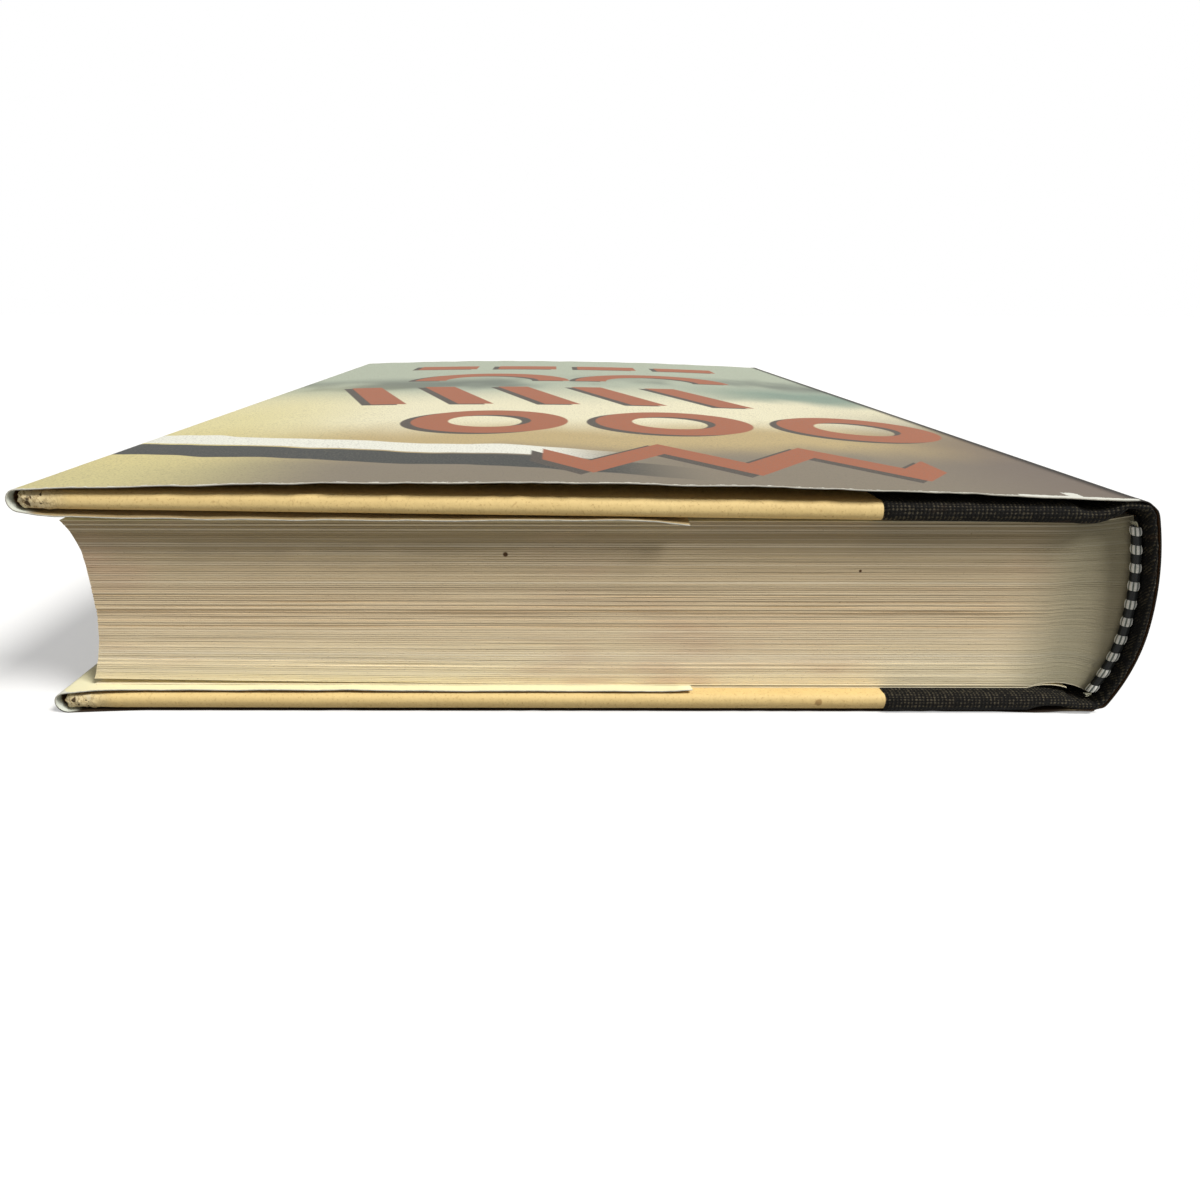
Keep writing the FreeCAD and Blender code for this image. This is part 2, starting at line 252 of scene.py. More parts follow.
def leaf_outline(share, step, row):
    # One trip round a leaf: along the head, the tail and the fore edge. Its step drifts along each
    # of them. Near the sewn back the leaves can't slip, so their ends lie more even there.
    power = UPPER_HOLLOW if share > 0.5 else LOWER_HOLLOW
    fore = PAGES_FORE + FORE_HOLLOW * (1 - abs(2 * share - 1) ** power)
    back = spine_at(TIP_LOW + (TIP_TOP - TIP_LOW) * share)[0]
    across = [fore + (back - fore) * (1 - (1 - count / LENGTH_STEPS) ** 1.4)
              for count in range(LENGTH_STEPS + 1)]
    outline = []
    for side, way in ((-1, across), (1, reversed(across))):
        for x in way:
            drift = noise.noise(Vector((x / DRIFT_LENGTH, row * 0.9, side * 7)))
            inset = step * (1 + DRIFT * drift) + 0.10 * noise.noise(Vector((x / 60, row / 9, side)))
            inset *= 1 - 0.7 * min(max((x - SEWN_X) / SEWN_REACH, 0), 1)
            outline.append((x, side * (LEAF_END - max(inset, 0)), leaf_height(x, share)))
    for count in range(1, 2 * FORE_STEPS):
        y = LEAF_END * (1 - count / FORE_STEPS)
        drift = noise.noise(Vector((y / DRIFT_LENGTH, row * 0.9, 40)))
        inset = step * (1 + DRIFT * drift)
        outline.append((fore + max(inset, 0) * 1.6, y, leaf_height(fore, share)))
    return outline


page_edges = new_finish("page_edges", 0.85, 0.2)
place = named(page_edges, "place", "Vector")
x, y, z = axes(page_edges, place)
tone = named(page_edges, "tone", "Fac")
fine = mottle(page_edges, stretched(page_edges, place, 0.02, 0.02, 9.0), 5, 0.75)
patch = mottle(page_edges, stretched(page_edges, place, 0.03, 0.03, 0.09), 3, 0.5)
grain = mottle(page_edges, stretched(page_edges, place, 2.0, 2.0, 6.0), 2, 0.5)
# The pages are painted lighter towards the bottom, and darker towards the top as painted shade under the
# front board.
paper = mixed(page_edges, between(page_edges, z, 3, 16), colour(255, 242, 206), colour(240, 221, 186))
paper = mixed(page_edges, between(page_edges, z, 16, 30), paper, colour(188, 170, 136))
paper = mixed(page_edges, between(page_edges, patch, 0.5, 0.85), paper, colour(222, 192, 162))
spine_shade_reach = between(page_edges, x, 64, 76)
# Painted shade: the narrow rows, which are set back, are painted brown as shade in their grooves, on top
# of the leaves' own uneven tone.
tone_and_groove_shade = between(page_edges, reckon(page_edges, "ADD", tone, fine), 0.85, 1.35)
tone_and_groove_shade = times(page_edges, tone_and_groove_shade, reckon(page_edges, "MULTIPLY_ADD", spine_shade_reach, -0.4, 0.6))
paper = mixed(page_edges, tone_and_groove_shade, paper, colour(150, 124, 94))
pale_row = between(page_edges, reckon(page_edges, "ADD", tone, fine), 0.8, 0.45)
paper = mixed(page_edges, times(page_edges, pale_row, 0.65), paper, colour(252, 241, 216))
# Painted shadow: the pages are painted grey-green beside the back, where the head cap shades them.
paper = mixed(page_edges, times(page_edges, spine_shade_reach, 0.75), paper, colour(152, 148, 124))
paper = mixed(page_edges, between(page_edges, grain, 0.62, 0.9), paper, colour(160, 138, 104))
for spot, size in (((-13.5, 25.8), 0.5), ((41.2, 23.2), 0.3)):
    stain = between(page_edges, away(page_edges, x, z, spot), size, size / 2)
    stain = times(page_edges, stain, between(page_edges, y, -110, -115))
    paper = mixed(page_edges, stain, paper, colour(84, 60, 40))
coat(page_edges, paper)
relief(page_edges, fine, 0.12, 0.8)

random.seed(31)
rows, tones = [], []
widths = [share * random.uniform(0.8, 1.2) for share in BUNDLES * (1, DARK_SHARE)]
bottom = 0.0
for row, width in enumerate(widths):
    top = bottom + width / sum(widths)
    height = leaf_height(0, (bottom + top) / 2)
    rough = ROUGH_ROWS[0] < height < ROUGH_ROWS[1]
    step = random.uniform(0, ROUGH_STEP if rough else CUT_STEP)
    tone = random.uniform(0.2, 0.6) if rough else random.uniform(0.1, 0.5)
    # The narrow rows are set back further and get a high tone, which the finish paints as shade in their
    # grooves.
    if row % 2:
        step += 0.6 * CUT_STEP
        tone = random.uniform(0.75, 1.05) if rough else random.uniform(0.4, 0.75)
    if PALE_ROWS[0] < height < PALE_ROWS[1] or height > PALE_ABOVE:
        tone -= 0.15
    for share in (bottom, top):
        rows.append(leaf_outline(share, step, row))
        tones += [tone] * len(rows[-1])
    bottom = top
points, faces = loft(rows, closed=True)
# Faces across the lowest and the top leaf.
for first in (0, len(points) - len(rows[0])):
    for count in range(LENGTH_STEPS):
        other = first + 2 * LENGTH_STEPS + 1 - count
        faces.append((first + count, first + count + 1, other - 1, other))
pages = piece("pages", points, faces, page_edges, soft=False)
carry(pages.data, "tone", "FLOAT", tones)
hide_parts("text_block")
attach(pages, "book_block")


# The first and last leaf are cut from the same stiffer cream paper as the endpapers, and lie on
# the block like its other leaves.
endpaper = new_finish("endpaper", 0.8, 0.2)
fibres = mottle(endpaper, stretched(endpaper, where_on_node(endpaper), 300, 300, 300), 4)
coat(endpaper, mixed(endpaper, fibres, colour(244, 236, 208), colour(226, 215, 184)))
relief(endpaper, fibres, 0.02)
for name in ("front_flyleaf", "back_flyleaf", "front_pastedown", "back_pastedown"):
    nodes[name].data.materials.clear()
    nodes[name].data.materials.append(endpaper)


# The head and tail bands are a woven cord over the ends of the pages, with white beads of three
# strands and black ones by turns, on a narrow tape glued to the backs of the pages.
BAND_OUT = -0.4
BAND_AHEAD = 0.85
BAND_RADIUS = 0.64
BAND_STEPS = 330
BEAD_PITCH = 2.99
FIRST_BEAD = 0.15
WHITE_SHARE = 0.48
WHITE_SWELL, BLACK_SWELL = 0.19, 0.08
STRANDS = 7
AROUND = 42
BAND_LOW, BAND_TOP = 3.0, 30.8
TAPE_OUT, TAPE_LENGTH = 0.12, 10
TAPE_STEPS = 20
HAIRS, HAIR_RADIUS = 6, 0.09

thread = new_finish("wound_thread", 0.6)
turn = named(thread, "turn", "Fac")
twist = mottle(thread, stretched(thread, named(thread, "place", "Vector"), 5, 5, 3), 2)
strand = named(thread, "strand", "Fac")
# Painted shade: each bead is painted darker in the grooves between its strands and lighter on their
# ridges.
white = mixed(thread, between(thread, strand, 0.0, 0.6), colour(80, 92, 84), colour(255, 255, 250))
white = mixed(thread, between(thread, twist, 0.55, 0.85), white, colour(160, 172, 160))
black = mixed(thread, between(thread, strand, 0.5, 1.0), colour(3, 4, 4), colour(24, 28, 26))
coat(thread, mixed(thread, between(thread, turn, 0.45, 0.55), black, white))
relief(thread, twist, 0.06)

frayed = new_finish("frayed_thread", 0.7)
twist = mottle(frayed, stretched(frayed, named(frayed, "place", "Vector"), 3, 3, 3), 2)
coat(frayed, mixed(frayed, twist, colour(226, 224, 200), colour(150, 148, 126)))


def hair(points, thick):
    # A thin round thread through the points, with five sides.
    rows = []
    for step, point in enumerate(points):
        ahead = Vector(points[min(step + 1, len(points) - 1)]) - Vector(points[max(step - 1, 0)])
        side = ahead.cross(Vector((0, 1, 0))).normalized() * thick
        other = ahead.cross(side).normalized() * thick
        rows.append([Vector(point) + side * math.cos(0.4 * math.pi * count)
                     + other * math.sin(0.4 * math.pi * count) for count in range(5)])
    return loft(rows, closed=True)


for name, side in (("head_band", -1), ("tail_band", 1)):
    rows, turns, strands = [], [], []
    travelled = FIRST_BEAD
    last = spine_at(BAND_LOW, BAND_OUT)
    for step in range(BAND_STEPS + 1):
        centre = spine_at(BAND_LOW + (BAND_TOP - BAND_LOW) * step / BAND_STEPS, BAND_OUT)
        travelled += math.dist(centre, last)
        last = centre
        phase = travelled / BEAD_PITCH % 1
        is_white = phase < WHITE_SHARE
        across = phase / WHITE_SHARE if is_white else (phase - WHITE_SHARE) / (1 - WHITE_SHARE)
        bead = math.sin(math.pi * across) ** 0.6 * (WHITE_SWELL if is_white else BLACK_SWELL)
        row = []
        for count in range(AROUND):
            angle = 2 * math.pi * count / AROUND
            strand = 0.5 + 0.5 * math.cos(STRANDS * angle)
            out = BAND_RADIUS + bead * (0.4 + 0.6 * strand)
            y = side * (LEAF_END + BAND_AHEAD) + out * math.sin(angle)
            row.append((centre[0] + out * math.cos(angle), y, centre[1]))
            strands.append(strand)
        rows.append(row)
        turns += [float(is_white)] * len(row)
    points, faces = loft(rows, closed=True)
    wound = piece(name + "_thread", points, faces, thread)
    carry(wound.data, "turn", "FLOAT", turns)
    carry(wound.data, "strand", "FLOAT", strands)
    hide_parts(name)
    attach(wound, "book_block")
    heights = [TIP_LOW + (TIP_TOP - TIP_LOW) * step / TAPE_STEPS for step in range(TAPE_STEPS + 1)]
    ends = (side * (LEAF_END + BAND_AHEAD), side * (LEAF_END - TAPE_LENGTH))
    rows = [[(x, y, z) for x, z in [spine_at(height, TAPE_OUT) for height in heights]] for y in ends]
    points, faces = loft(rows)
    tape = piece(name + "_tape", points, faces, thread)
    points, faces = [], []
    for height, up in ((BAND_TOP, 1), (BAND_LOW, -1)):
        x, z = spine_at(height, BAND_OUT)
        for count in range(HAIRS):
            lean = random.uniform(-1.1, 0.2)
            y = side * (LEAF_END + BAND_AHEAD + random.uniform(-0.2, 0.6))
            bend = random.uniform(0.6, 1.4)
            way = [(x + lean * step / 4, y, z + up * bend * (step / 3 - step ** 2 / 24))
                   for step in range(6)]
            new_points, new_faces = hair(way, HAIR_RADIUS)
            faces += [[corner + len(points) for corner in face] for face in new_faces]
            points += new_points
    ends = piece(name + "_ends", points, faces, frayed)
    for extra in (tape, ends):
        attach(extra, "book_block")


# Under the spine lie the open mull glued to the sewn backs, a lining paper over it and, a little
# way off, the bent card that stiffens the case. They show only as dark edges inside the head cap.
for name, slot, shade, other in (("spine_mull", "mull", (206, 196, 166), (170, 158, 128)),
                                 ("spine_lining", "lining_paper", (150, 120, 84), (118, 92, 62)),
                                 ("spine_inlay", "spine_card", (128, 120, 104), (96, 90, 78))):
    finish = new_finish(slot, 0.9, 0.1)
    flecks = mottle(finish, stretched(finish, where_on_node(finish), 900, 900, 900), 3)
    coat(finish, mixed(finish, flecks, colour(*shade), colour(*other)))
    relief(finish, flecks, 0.05)
    nodes[name].data.materials.clear()
    nodes[name].data.materials.append(finish)


# The boards are pressed grey-brown millboard with edges rounded by wear. They are quite covered,
# and show only through the small holes at the corners of their paper.
FORE_X = -84.0
BOARD_EDGE = 71.0
BOARD_END = 120.25
BOARD_LOW, BOARD_TOP = 0.45, 2.95
BOARD_BEND = 1.0
BOARD_BENDS = (1.4, 0.9)
HINGE_X = 77.7
FRONT_HINGE_Z = 35.2
FRONT_LEVEL = 34.52
COVER_TILT = math.radians(0.7)
FINE_REACH, FINE_PITCH = 10, 0.4


def on_front(point):
    # Where a point of the back cover comes on the front one, turned over and lifted at the hinge.
    x, y, z = point
    aside = x - HINGE_X
    above = FRONT_LEVEL - z - FRONT_HINGE_Z
    new_x = HINGE_X + aside * math.cos(COVER_TILT) + above * math.sin(COVER_TILT)
    return new_x, y, FRONT_HINGE_Z + above * math.cos(COVER_TILT) - aside * math.sin(COVER_TILT)


def as_it_lies(point):
    return point


def towards_ends(end, steps):
    # Places from the middle to one end, ever closer together.
    return [end * (1 - (1 - count / steps) ** 3) for count in range(steps + 1)]


def quarter_turn(bend):
    return [(bend * math.sin(angle), bend - bend * math.cos(angle)) for angle in (0.4, 0.8, 1.2)]


def oblong(x, inset, end, low, top, bends):
    # One cut across a board or its paper, a rounded oblong from the middle of its outside. Its
    # edge is rounder on the outside of the book than on the inside.
    end, low, top = end - inset, low + inset, top - inset
    outer, inner = [max(bend - inset, 0.03) for bend in bends]
    half = [(y, low) for y in towards_ends(end - outer, 18)]
    half += [(end - outer + aside, low + up) for aside, up in quarter_turn(outer)]
    half += [(end, low + outer + (top - low - outer - inner) * count / 3) for count in range(4)]
    half += [(end - inner + aside, top - up) for aside, up in reversed(quarter_turn(inner))]
    half += [(y, top) for y in reversed(towards_ends(end - inner, 18))]
    return [(x, y, z) for y, z in half] + [(x, -y, z) for y, z in reversed(half)]


def closed_end(faces, first, width):
    # Faces across the first or last oblong of a loft.
    for count in range(width // 2 - 1):
        other = first + width - 1 - count
        faces.append((first + count, first + count + 1, other - 1, other))


def rounded_way(edge, fore, bend):
    # Stations from one rounded edge to the other, each with the inset of its oblong. They lie
    # close together near the fore edge, where the corners are crumpled.
    insets = [(bend * (1 - math.sin(angle)), bend * (1 - math.cos(angle)))
              for angle in (0, 0.3, 0.6, 0.9, 1.2, 1.5)]
    near = [(edge - aside, inset) for aside, inset in reversed(insets)]
    start = near[-1][0]
    middle = [(start + (fore + FINE_REACH - start) * count / 12, 0) for count in range(1, 13)]
    middle += [(fore + FINE_REACH - FINE_PITCH * count, 0) for count in range(1, 22)]
    return near + middle + [(fore + aside, inset) for aside, inset in insets]


millboard = new_finish("millboard", 0.9, 0.1)
flecks = mottle(millboard, stretched(millboard, named(millboard, "place", "Vector"), 1.4, 1.4, 1.4), 4)
coat(millboard, mixed(millboard, flecks, colour(110, 92, 66), colour(66, 52, 38)))
relief(millboard, flecks, 0.1)
for name, place_it in (("front", on_front), ("back", as_it_lies)):
    rows = [oblong(x, inset, BOARD_END, BOARD_LOW, BOARD_TOP, BOARD_BENDS)
            for x, inset in rounded_way(BOARD_EDGE, FORE_X, BOARD_BEND)]
    points, faces = loft(rows, closed=True)
    width = len(rows[0])
    closed_end(faces, 0, width)
    closed_end(faces, len(points) - width, width)
    board = piece(name + "_millboard", [place_it(point) for point in points], faces, millboard)
    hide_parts(name + "_board")
    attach(board, name + "_cover")


# The sides of the boards are covered in smooth tan paper, turned in over the head, fore edge and
# tail. The paper is pleated at the corners, where it is crumpled and worn through in small holes.
PAPER_FORE = -84.15
PAPER_END = 120.4
PAPER_LOW, PAPER_TOP = 0.3, 3.1
PAPER_BEND = 1.05
PAPER_BENDS = (1.6, 1.0)
ROUNDED_STATIONS = 5
CRUMPLE_REACH = 7.5
CRUMPLE_DEPTH = 0.5
CORNER_SWELL = 0.7
FRONT_CLOTH_X, BACK_CLOTH_X = 42.25, 47.06


def crumpled(point):
    # How far into its corner a point is, and where it goes when the corner is pressed in.
    x, y, z = point
    corner = Vector((PAPER_FORE, math.copysign(PAPER_END, y), (PAPER_LOW + PAPER_TOP) / 2))
    near = max(0.0, 1 - (Vector(point) - corner).length / CRUMPLE_REACH)
    inside = Vector((max(x, PAPER_FORE + 3), math.copysign(min(abs(y), PAPER_END - 3), y), corner.z))
    inward = (inside - Vector(point)).normalized()
    folds = 1 - 2 * abs(noise.noise(Vector((x * 0.8 + z * 0.5, y * 0.4, z * 0.9))))
    press = CRUMPLE_DEPTH * near * (folds - 0.35) + 0.03 * folds
    swell = CORNER_SWELL * near * min(max((PAPER_FORE + 4 - x) / 4, 0), 1)
    return near, tuple(Vector(point) + inward * press - Vector((swell, 0, 0)))


side_paper = new_finish("side_paper", 0.62, 0.25)
place = named(side_paper, "place", "Vector")
near_corner = named(side_paper, "corner", "Fac")
blotch = mottle(side_paper, stretched(side_paper, place, 0.05, 0.05, 0.3), 3)
fibre = mottle(side_paper, stretched(side_paper, place, 2.5, 2.5, 2.5), 4)
x, y, z = axes(side_paper, place)
crease = mottle(side_paper, stretched(side_paper, place, 0.9, 0.8, 0.55), 4, 0.6)
tan = mixed(side_paper, blotch, colour(240, 214, 152), colour(216, 186, 124))
tan = mixed(side_paper, between(side_paper, fibre, 0.52, 0.8), tan, colour(196, 164, 108))
tan = mixed(side_paper, times(side_paper, near_corner, 1.4), tan, colour(226, 208, 164))
# Painted shade: the creases of the crumpled corners are painted darker along their folds.
ridge = reckon(side_paper, "ABSOLUTE", reckon(side_paper, "SUBTRACT", crease, 0.5))
painted_fold_shade = times(side_paper, between(side_paper, ridge, 0.05, 0.0), near_corner)
tan = mixed(side_paper, times(side_paper, painted_fold_shade, 1.2), tan, colour(150, 126, 86))
# Painted highlight: the crumpled corners are painted paler on one side of their creases.
painted_crease_highlight = times(side_paper, between(side_paper, crease, 0.58, 0.66), near_corner)
tan = mixed(side_paper, painted_crease_highlight, tan, colour(244, 232, 200))
at_head = between(side_paper, y, -115, -118)
for dent, size, shade in (((-82.8, 35.0), 0.2, (52, 38, 26)), ((36.2, 1.9), 0.7, (176, 144, 92))):
    ragged = reckon(side_paper, "MULTIPLY_ADD", crease, 1.6, away(side_paper, x, z, dent))
    mark = times(side_paper, between(side_paper, ragged, size + 0.95, size + 0.6), at_head)
    tan = mixed(side_paper, mark, tan, colour(*shade))
coat(side_paper, tan)
relief(side_paper, crease, 0.14, 0.8)

# Beside the cloth the paper stays flat, so the rounded stations are left out there.
for name, edge, place_it in (("front", FRONT_CLOTH_X, on_front), ("back", BACK_CLOTH_X, as_it_lies)):
    stations = rounded_way(edge + PAPER_BEND, PAPER_FORE, PAPER_BEND)[ROUNDED_STATIONS:]
    rows = [oblong(x, inset, PAPER_END, PAPER_LOW, PAPER_TOP, PAPER_BENDS) for x, inset in stations]
    points, faces = loft(rows, closed=True)
    width = len(rows[0])
    closed_end(faces, len(points) - width, width)
    pressed = [crumpled(point) for point in points]
    paper = piece(name + "_paper_side", [place_it(point) for near, point in pressed], faces, side_paper)
    carry(paper.data, "corner", "FLOAT", [near for near, point in pressed])
    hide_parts(name + "_side_paper")
    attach(paper, name + "_cover")


# One width of near-black bookcloth covers the spine card, dips into the groove beside each board
# and laps a little way over the boards. It is turned in round the head and tail of them all.
COVER_END = 120.5
TURN_IN = 15.0
CLOTH_LOW, CLOTH_TOP = 0.2, 3.2
BOARD_ROUND = 1.25
COVER_SEAM = 77.56
SEAM_GAP = 0.15
GROOVE_LOW, GROOVE_BOTTOM = 1.1, 2.2
SEAM_DEPTH = 1.7
INSIDE_DIP = 0.125
CLOTH_IN, CLOTH_OUT = 0.5, 1.6
FRONT_SHOULDER_Z, BACK_SHOULDER_Z = 34.8, 0.7
FRONT_SEAM_SET, BACK_SEAM_SET = -0.48, 0.5
SPINE_STEPS, SHOULDER_STEPS = 40, 8
INSIDE_FLAT_STEPS = 17
EDGE_BEND = 1.4
TUCK = 0.25
RUMPLE, RUMPLE_REACH = 0.22, 6
THREAD_PITCH = 0.6


def line(start, end, steps):
    return [(start[0] + (end[0] - start[0]) * step / steps,
             start[1] + (end[1] - start[1]) * step / steps) for step in range(steps + 1)]


def arc(start, middle, end, steps):
    # Points on the circle through three points.
    (ax, az), (bx, bz), (cx, cz) = start, middle, end
    double = 2 * (ax * (bz - cz) + bx * (cz - az) + cx * (az - bz))
    a, b, c = ax ** 2 + az ** 2, bx ** 2 + bz ** 2, cx ** 2 + cz ** 2
    x = (a * (bz - cz) + b * (cz - az) + c * (az - bz)) / double
    z = (a * (cx - bx) + b * (ax - cx) + c * (bx - ax)) / double
    first = math.atan2(az - z, ax - x)
    turn = math.remainder(math.atan2(cz - z, cx - x) - first, 2 * math.pi)
    radius = math.dist(start, (x, z))
    return [(x + radius * math.cos(first + turn * step / steps),
             z + radius * math.sin(first + turn * step / steps)) for step in range(steps + 1)]


def shoulder_arc(tip, level, out):
    # From the tip of the spine's curve over the shoulder until the layer runs level.
    corner, root = Vector(spine_at(tip, CLOTH_OUT)), Vector(spine_at(tip, 0))
    facing = (corner - root).normalized()
    up = 1 if level > CROWN_Z else -1
    radius = (level - corner.y) * up / (1 - facing.y * up)
    centre = corner - facing * radius
    start = math.atan2(facing.y, facing.x)
    turn = up * math.pi / 2 - start
    reach = radius + out - CLOTH_OUT
    angles = [start + turn * step / SHOULDER_STEPS for step in range(SHOULDER_STEPS + 1)]
    return [(centre.x + reach * math.cos(angle), centre.y + reach * math.sin(angle)) for angle in angles]


def round_spine(out):
    # From the front hinge over the spine to the back hinge.
    top = list(reversed(shoulder_arc(TIP_TOP, FRONT_SHOULDER_Z, out)))
    low = shoulder_arc(TIP_LOW, BACK_SHOULDER_Z, out)
    heights = [TIP_TOP + (TIP_LOW - TIP_TOP) * step / SPINE_STEPS for step in range(1, SPINE_STEPS)]
    seam = HINGE_X + SEAM_GAP
    way = line((seam, top[0][1]), top[0], 4) + top[1:]
    way += [spine_at(z, out) for z in heights]
    return way + low + line(low[-1], (seam, low[-1][1]), 4)[1:]


def cover_outside(edge, seam_set):
    # The cloth over the board, round its edge and through the groove up to the hinge.
    x, z = BOARD_EDGE - BOARD_BEND, CLOTH_LOW + BOARD_ROUND
    bend = [(x + BOARD_ROUND * math.sin(angle), z - BOARD_ROUND * math.cos(angle))
            for angle in (0.2, 0.4, 0.6, 0.8)]
    seam = (COVER_SEAM, CLOTH_LOW + seam_set)
    groove = arc(bend[-1], (BOARD_EDGE + GROOVE_BOTTOM, GROOVE_LOW), seam, 14)
    tucked = [(edge, CLOTH_LOW + TUCK), (edge + TUCK, CLOTH_LOW)]
    return tucked + line((edge + 2 * TUCK, CLOTH_LOW), (x, CLOTH_LOW), 14) + bend + groove[1:]


def cover_inside(edge, seam_set, flat_steps, joint_steps):
    # The turned-in cloth on the inside, with as many points as the outside.
    middle = ((BOARD_EDGE + COVER_SEAM) / 2, CLOTH_TOP - INSIDE_DIP)
    seam = (COVER_SEAM, CLOTH_LOW + seam_set + SEAM_DEPTH)
    flat = line((edge, CLOTH_TOP), (BOARD_EDGE, CLOTH_TOP), flat_steps)
    return flat + arc((BOARD_EDGE, CLOTH_TOP), middle, seam, joint_steps)[1:]


def turned_in(outer, inner, tuck=0.0):
    # One cut across the cloth from its turn-in at the tail to the one at the head.
    deep = math.dist(outer, inner)
    bend = min(EDGE_BEND, deep / 2)
    start = COVER_END - bend - tuck
    corner = quarter_turn(bend)
    half = [(y, 0) for y in towards_ends(start, 22)]
    half += [(start + aside, up) for aside, up in corner]
    half += [(start + bend, bend + (deep - 2 * bend) * count / 3) for count in range(4)]
    half += [(start + aside, deep - up) for aside, up in reversed(corner)]
    half += [(start - step, deep) for step in (0, 1, 4, TURN_IN - bend)]
    whole = [(-y, depth) for y, depth in reversed(half[1:])] + half
    return [(outer[0] + (inner[0] - outer[0]) * depth / deep, y,
             outer[1] + (inner[1] - outer[1]) * depth / deep) for y, depth in whole]


def rumpled(point):
    # Small folds of the cloth at the head and tail caps.
    x, y, z = point
    near = max(0.0, 1 - (COVER_END - abs(y)) / RUMPLE_REACH) * min(max((x - 72) / 5, 0), 1)
    push = RUMPLE * near * noise.noise(Vector((x * 0.8, y * 0.35, z * 0.8)))
    return x - push, y, z - push


book_cloth = new_finish("book_cloth", 0.85, 0.15)
place = named(book_cloth, "place", "Vector")
x, y, z = axes(book_cloth, place)
warp = reckon(book_cloth, "PINGPONG", x, THREAD_PITCH / 2)
weft = reckon(book_cloth, "PINGPONG", reckon(book_cloth, "ADD", y, z), THREAD_PITCH / 2)
warp = times(book_cloth, warp, 2 / THREAD_PITCH)
weft = times(book_cloth, weft, 2 / THREAD_PITCH)
slub = mottle(book_cloth, stretched(book_cloth, place, 1.1, 1.1, 1.6), 3, 0.6)
weave = times(book_cloth, reckon(book_cloth, "ADD", warp, weft), slub)
uneven = mottle(book_cloth, stretched(book_cloth, place, 2.2, 3.5, 3.5), 3, 0.6)
weave = reckon(book_cloth, "MULTIPLY_ADD", reckon(book_cloth, "SUBTRACT", uneven, 0.5), 1.1, weave)
rubbed = mottle(book_cloth, stretched(book_cloth, place, 0.22, 0.22, 0.5), 4)
specks = mottle(book_cloth, stretched(book_cloth, place, 2.6, 2.6, 2.6), 2)
cloth = mixed(book_cloth, between(book_cloth, weave, 0.5, 1.1), colour(7, 6, 4), colour(82, 76, 62))
cloth = mixed(book_cloth, between(book_cloth, rubbed, 0.6, 0.9), cloth, colour(62, 48, 36))
cloth = mixed(book_cloth, between(book_cloth, specks, 0.74, 0.82), cloth, colour(150, 144, 126))
coat(book_cloth, cloth)
relief(book_cloth, weave, 0.12)

for name, edge, seam_set, place_it in (("front", FRONT_CLOTH_X, FRONT_SEAM_SET, on_front),
                                       ("back", BACK_CLOTH_X, BACK_SEAM_SET, as_it_lies)):
    outside = cover_outside(edge, seam_set)
    inside = cover_inside(edge, seam_set, INSIDE_FLAT_STEPS, len(outside) - 1 - INSIDE_FLAT_STEPS)
    cuts = [turned_in(outer, inner, TUCK if step == 0 else 0)
            for step, (outer, inner) in enumerate(zip(outside, inside))]
    rows = [[place_it(point) for point in cut] for cut in cuts]
    spine = list(zip(round_spine(CLOTH_OUT), round_spine(CLOTH_IN)))
    rows += [turned_in(outer, inner) for outer, inner in (spine if name == "front" else spine[-1:])]
    points, faces = loft(rows)
    cloth = piece(name + "_book_cloth", [rumpled(point) for point in points], faces, book_cloth)
    # Each cloth takes the place of the imported cloth parts, which are hidden.
    if name == "front":
        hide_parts("front_cloth", "spine_cloth")
        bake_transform(cloth)
    else:
        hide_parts("back_cloth")
        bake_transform(cloth)


# The jacket is one sheet of coated paper printed on its outside, creased at both hinges, bowed
# above the front board and folded round the fore edges into two long cream flaps. Its edges are
# rubbed white, small chips are torn out at the head, and the flaps' corners curl off the boards.
JACKET = 0.2
FOLD_RADIUS = 1.66
FLAP_Z = 3.42
PANEL_Z = 0.1
FRONT_FLAP_X, BACK_FLAP_X = 14.0, 16.2
FLAP_STEPS, PANEL_STEPS = 40, 80
CREAM_ROWS_ON_FOLD = 3
FRONT_SEAM_Z, BACK_SEAM_Z = -0.43, 0.55
BACK_SHORT = 0.9
FRONT_LOOSE, BACK_LOOSE = 0.65, 0.32
FLAP_CURL, CURL_REACH = 0.55, 10
BOW = 1.8
JACKET_OUT = 1.75
PRESSED_WAVE, FREE_WAVE = 0.05, 0.18
WAVE_REACH = 5
NICK = 0.9
CHIP_X = 70.5


def jacket_profile(flap_x, rise_x, seam_z, bow):
    # Middle of the sheet from the end of the flap to the hinge, in millimetres. It lies level up to
    # rise_x and goes straight from there to the seam, apart from its bow.
    flap = line((flap_x, FLAP_Z), (PAPER_FORE, FLAP_Z), FLAP_STEPS)
    middle_z = (FLAP_Z + PANEL_Z) / 2
    fold = [(PAPER_FORE - FOLD_RADIUS * math.sin(angle), middle_z + FOLD_RADIUS * math.cos(angle))
            for angle in [math.pi * step / 10 for step in range(1, 10)]]
    panel = []
    for step in range(PANEL_STEPS + 1):
        share = step / PANEL_STEPS
        x = PAPER_FORE + (COVER_SEAM - PAPER_FORE) * share
        rise = max(0.0, (x - rise_x) / (COVER_SEAM - rise_x))
        panel.append((x, PANEL_Z + (seam_z - PANEL_Z) * rise - bow * (1 - (2 * share - 1) ** 2)))
    return flap + fold + panel


